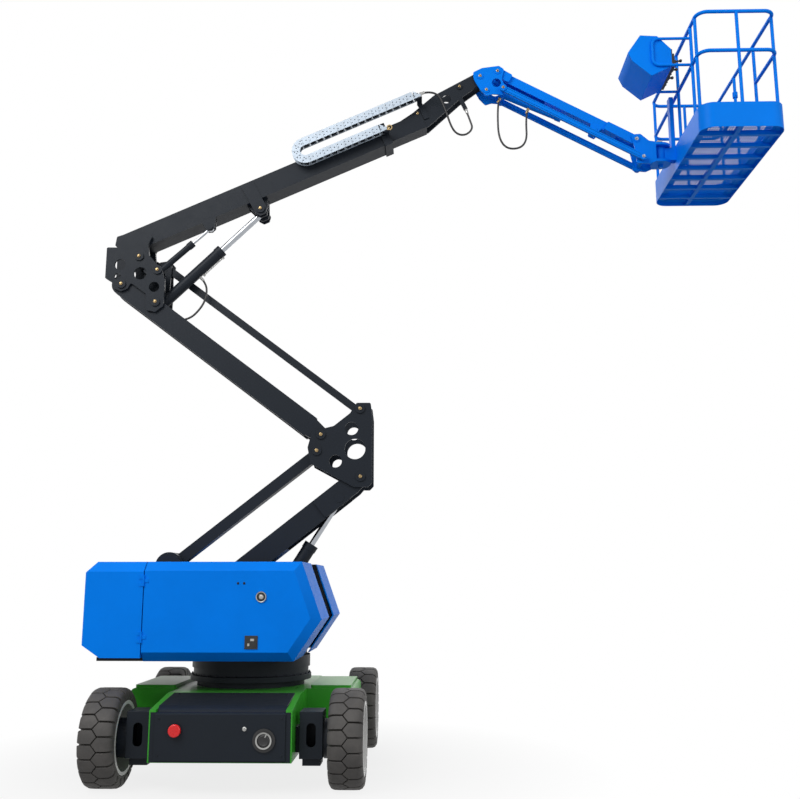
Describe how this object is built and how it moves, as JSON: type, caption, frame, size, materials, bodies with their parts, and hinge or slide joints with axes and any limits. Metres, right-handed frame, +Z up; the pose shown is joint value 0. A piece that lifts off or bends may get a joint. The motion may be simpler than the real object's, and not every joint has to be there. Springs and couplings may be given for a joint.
{
  "type": "articulating boom lift",
  "caption": "Self-propelled articulating boom lift: wheeled chassis, slewing turret, folding riser arms, telescoping boom, jib and railed work platform.",
  "frame": {"origin": "on the ground under the turret's slewing axis", "axes": "+X along the boom, +Y along the chassis towards its steered end, +Z up"},
  "size_m": [6.2941, 2.722, 6.733],
  "materials": {
    "green_paint": "gloss",
    "blue_paint": "gloss",
    "charcoal_paint": "satin",
    "tyre_rubber": "matte",
    "rim_paint": "satin",
    "hose_rubber": "matte",
    "chrome_rod": "polished",
    "chain_steel": "satin",
    "red_plastic": "gloss",
    "black_plastic": "matte"
  },
  "bodies": {
    "chassis": {"chassis_frame": "green_paint", "pod_lids": "green_paint", "nose_lids": "charcoal_paint", "end_panels": "charcoal_paint", "stop_button": "red_plastic", "charge_socket": "black_plastic", "axle_blocks": "charcoal_paint", "drive_axle": "charcoal_paint", "steer_axle": "charcoal_paint", "slew_ring": "charcoal_paint"},
    "knuckle_left": {"knuckle_left": "charcoal_paint"},
    "knuckle_right": {"knuckle_right": "charcoal_paint"},
    "tie_rod": {"tie_rod": "charcoal_paint"},
    "wheel_near_left": {"tyre_near_left": "tyre_rubber", "rim_near_left": "rim_paint"},
    "wheel_near_right": {"tyre_near_right": "tyre_rubber", "rim_near_right": "rim_paint"},
    "wheel_far_left": {"tyre_far_left": "tyre_rubber", "rim_far_left": "rim_paint"},
    "wheel_far_right": {"tyre_far_right": "tyre_rubber", "rim_far_right": "rim_paint"},
    "turret": {"turret_frame": "charcoal_paint", "counterweight": "blue_paint", "power_packs": "black_plastic"},
    "hood_near": {"hood_near": "blue_paint"},
    "hood_far": {"hood_far": "blue_paint"},
    "lower_arm": {"lower_arm": "charcoal_paint"},
    "lower_link": {"lower_link": "charcoal_paint"},
    "riser_barrel": {"riser_barrel": "charcoal_paint"},
    "riser_rod": {"riser_rod": "chrome_rod"},
    "mid_knuckle": {"mid_knuckle": "charcoal_paint"},
    "upper_arm": {"upper_arm": "charcoal_paint"},
    "upper_link": {"upper_link": "charcoal_paint"},
    "top_knuckle": {"top_knuckle": "charcoal_paint"},
    "lift_barrel": {"lift_barrel": "charcoal_paint", "hose_lift": "hose_rubber"},
    "lift_rod": {"lift_rod": "chrome_rod"},
    "level_barrel": {"level_barrel": "charcoal_paint"},
    "level_rod": {"level_rod": "chrome_rod"},
    "boom": {"boom_tube": "charcoal_paint", "chain_lower": "chain_steel"},
    "chain_bend": {"chain_bend": "chain_steel"},
    "extension": {"extension": "charcoal_paint", "chain_upper": "chain_steel", "hose_head": "hose_rubber"},
    "jib_base": {"jib_base": "blue_paint"},
    "jib_arm": {"jib_arm": "blue_paint"},
    "jib_links": {"jib_links": "blue_paint"},
    "jib_rod": {"jib_rod": "chrome_rod"},
    "jib_barrel": {"jib_barrel": "blue_paint", "hose_jib": "hose_rubber"},
    "platform_mount": {"platform_mount": "blue_paint"},
    "basket": {"basket_floor": "blue_paint", "basket_deck": "blue_paint", "basket_arm": "blue_paint", "basket_rails": "blue_paint", "control_box": "blue_paint", "control_panel": "black_plastic"},
    "basket_gate": {"basket_gate": "blue_paint"}
  },
  "joints": [
    {"name": "slew", "type": "hinge", "parent": "chassis", "child": "turret", "pos_m": [0, 0, 0.9], "axis": [0, 0, 1], "range_deg": [-175, 175]},
    {"name": "steer_left", "type": "hinge", "parent": "chassis", "child": "knuckle_left", "pos_m": [-0.7, 0.98, 0.38], "axis": [0, 0, 1], "range_deg": [-35, 35]},
    {"name": "steer_right", "type": "hinge", "parent": "chassis", "child": "knuckle_right", "pos_m": [0.7, 0.98, 0.38], "axis": [0, 0, 1], "range_deg": [-35.01, 35.01]},
    {"name": "tie_rod_slide", "type": "slide", "parent": "chassis", "child": "tie_rod", "axis": [1, 0, 0], "range_m": [-0.11656, 0.11656]},
    {"name": "wheel_near_left_spin", "type": "hinge", "parent": "chassis", "child": "wheel_near_left", "pos_m": [-0.95, -0.98, 0.38], "axis": [1, 0, 0], "continuous": true},
    {"name": "wheel_near_right_spin", "type": "hinge", "parent": "chassis", "child": "wheel_near_right", "pos_m": [0.95, -0.98, 0.38], "axis": [1, 0, 0], "continuous": true},
    {"name": "wheel_far_left_spin", "type": "hinge", "parent": "knuckle_left", "child": "wheel_far_left", "pos_m": [-0.95, 0.98, 0.38], "axis": [1, 0, 0], "continuous": true},
    {"name": "wheel_far_right_spin", "type": "hinge", "parent": "knuckle_right", "child": "wheel_far_right", "pos_m": [0.95, 0.98, 0.38], "axis": [1, 0, 0], "continuous": true},
    {"name": "hood_near_swing", "type": "hinge", "parent": "turret", "child": "hood_near", "pos_m": [-0.742, -0.958, 1.4], "axis": [0, 0, -1], "range_deg": [0, 80]},
    {"name": "hood_far_swing", "type": "hinge", "parent": "turret", "child": "hood_far", "pos_m": [-0.742, 0.958, 1.4], "axis": [0, 0, 1], "range_deg": [0, 80]},
    {"name": "riser_lift", "type": "hinge", "parent": "turret", "child": "lower_arm", "pos_m": [-0.351, 0, 1.493], "axis": [0, -1, 0], "range_deg": [-32, 30]},
    {"name": "riser_link", "type": "hinge", "parent": "turret", "child": "lower_link", "pos_m": [-0.755, 0, 1.733], "axis": [0, -1, 0], "range_deg": [-32.01, 30.01]},
    {"name": "riser_level", "type": "hinge", "parent": "lower_arm", "child": "mid_knuckle", "pos_m": [0.9771, 0, 2.53811], "axis": [0, -1, 0], "range_deg": [-30.01, 32.01]},
    {"name": "upper_arm_fold", "type": "hinge", "parent": "mid_knuckle", "child": "upper_arm", "pos_m": [0.6091, 0, 2.92811], "axis": [0, -1, 0], "range_deg": [-30.95, 33.01]},
    {"name": "upper_link_fold", "type": "hinge", "parent": "mid_knuckle", "child": "upper_link", "pos_m": [0.9691, 0, 3.16911], "axis": [0, -1, 0], "range_deg": [-30.95, 33.01]},
    {"name": "top_level", "type": "hinge", "parent": "upper_arm", "child": "top_knuckle", "pos_m": [-1.32584, 0, 4.39149], "axis": [0, -1, 0], "range_deg": [-33.01, 30.95]},
    {"name": "riser_barrel_tilt", "type": "hinge", "parent": "turret", "child": "riser_barrel", "pos_m": [0.028, 0, 1.15], "axis": [0, -1, 0], "range_deg": [-30.66, 28.75]},
    {"name": "riser_rod_slide", "type": "slide", "parent": "riser_barrel", "child": "riser_rod", "axis": [0.5335, 0, 0.8458], "range_m": [-0.27559, 0.25839]},
    {"name": "boom_lift", "type": "hinge", "parent": "top_knuckle", "child": "boom", "pos_m": [-1.16684, 0, 4.66649], "axis": [0, -1, 0], "range_deg": [-25, 50]},
    {"name": "lift_barrel_tilt", "type": "hinge", "parent": "top_knuckle", "child": "lift_barrel", "pos_m": [-0.98984, 0, 4.21149], "axis": [0, -1, 0], "range_deg": [-20.45, 40.88]},
    {"name": "lift_rod_slide", "type": "slide", "parent": "lift_barrel", "child": "lift_rod", "axis": [0.7153, 0, 0.6988], "range_m": [-0.18566, 0.37082]},
    {"name": "level_barrel_tilt", "type": "hinge", "parent": "top_knuckle", "child": "level_barrel", "pos_m": [-0.98484, -0.104, 4.52849], "axis": [0, -1, 0], "range_deg": [-24.52, 49.03]},
    {"name": "level_rod_slide", "type": "slide", "parent": "level_barrel", "child": "level_rod", "axis": [0.7401, 0, 0.6725], "range_m": [-0.09661, 0.19272]},
    {"name": "boom_extend", "type": "slide", "parent": "boom", "child": "extension", "axis": [0.9143, 0, 0.4051], "range_m": [0, 1.55], "deforming": ["chain_lower", "chain_upper"]},
    {"name": "chain_bend_slide", "type": "slide", "parent": "extension", "child": "chain_bend", "axis": [0.9143, 0, 0.4051], "range_m": [-0.776, 0.001]},
    {"name": "jib_base_level", "type": "hinge", "parent": "extension", "child": "jib_base", "pos_m": [2.1357, 0, 6.5489], "axis": [0, -1, 0], "range_deg": [-50.01, 25.01]},
    {"name": "jib_lift", "type": "hinge", "parent": "jib_base", "child": "jib_arm", "pos_m": [2.3097, 0, 6.6009], "axis": [0, -1, 0], "range_deg": [-36, 99]},
    {"name": "jib_link_swing", "type": "hinge", "parent": "jib_base", "child": "jib_links", "pos_m": [2.3577, 0, 6.3919], "axis": [0, -1, 0], "range_deg": [-36.01, 99.01]},
    {"name": "platform_level", "type": "hinge", "parent": "jib_arm", "child": "platform_mount", "pos_m": [3.65529, 0, 5.85809], "axis": [0, -1, 0], "range_deg": [-99.01, 36.01]},
    {"name": "jib_rod_tilt", "type": "hinge", "parent": "jib_arm", "child": "jib_rod", "pos_m": [3.25566, 0, 5.98046], "axis": [0, -1, 0], "range_deg": [-0.4, 1.08]},
    {"name": "jib_barrel_slide", "type": "slide", "parent": "jib_rod", "child": "jib_barrel", "axis": [-0.9091, 0, 0.4165], "range_m": [-0.12153, 0.33334]},
    {"name": "platform_turn", "type": "hinge", "parent": "platform_mount", "child": "basket", "pos_m": [3.90029, 0, 5.7], "axis": [0, 0, -1], "range_deg": [-80, 80]},
    {"name": "gate_swing", "type": "hinge", "parent": "basket", "child": "basket_gate", "pos_m": [4.77929, 0.29, 6.3], "axis": [0, 0, -1], "range_deg": [0, 85]}
  ],
  "couplings": [
    {"joint": "steer_right", "follows": "steer_left", "ratio": 1},
    {"joint": "tie_rod_slide", "follows": "steer_left", "m_per_rad": 0.19},
    {"joint": "riser_link", "follows": "riser_lift", "ratio": 1},
    {"joint": "riser_level", "follows": "riser_lift", "ratio": -1},
    {"joint": "upper_arm_fold", "follows": "riser_lift", "ratio": -1.0312},
    {"joint": "upper_link_fold", "follows": "riser_lift", "ratio": -1.0312},
    {"joint": "top_level", "follows": "riser_lift", "ratio": 1.0312},
    {"joint": "riser_barrel_tilt", "follows": "riser_lift", "ratio": 0.95792},
    {"joint": "riser_rod_slide", "follows": "riser_lift", "m_per_rad": 0.49254},
    {"joint": "lift_barrel_tilt", "follows": "boom_lift", "ratio": 0.81748},
    {"joint": "lift_rod_slide", "follows": "boom_lift", "m_per_rad": 0.42436},
    {"joint": "level_barrel_tilt", "follows": "boom_lift", "ratio": 0.9804},
    {"joint": "level_rod_slide", "follows": "boom_lift", "m_per_rad": 0.22026},
    {"joint": "jib_base_level", "follows": "boom_lift", "ratio": -1},
    {"joint": "chain_bend_slide", "follows": "boom_extend", "ratio": -0.5},
    {"joint": "jib_link_swing", "follows": "jib_lift", "ratio": 1},
    {"joint": "platform_level", "follows": "jib_lift", "ratio": -1},
    {"joint": "jib_rod_tilt", "follows": "jib_lift", "ratio": 0.010785},
    {"joint": "jib_barrel_slide", "follows": "jib_lift", "m_per_rad": 0.19263}
  ]
}
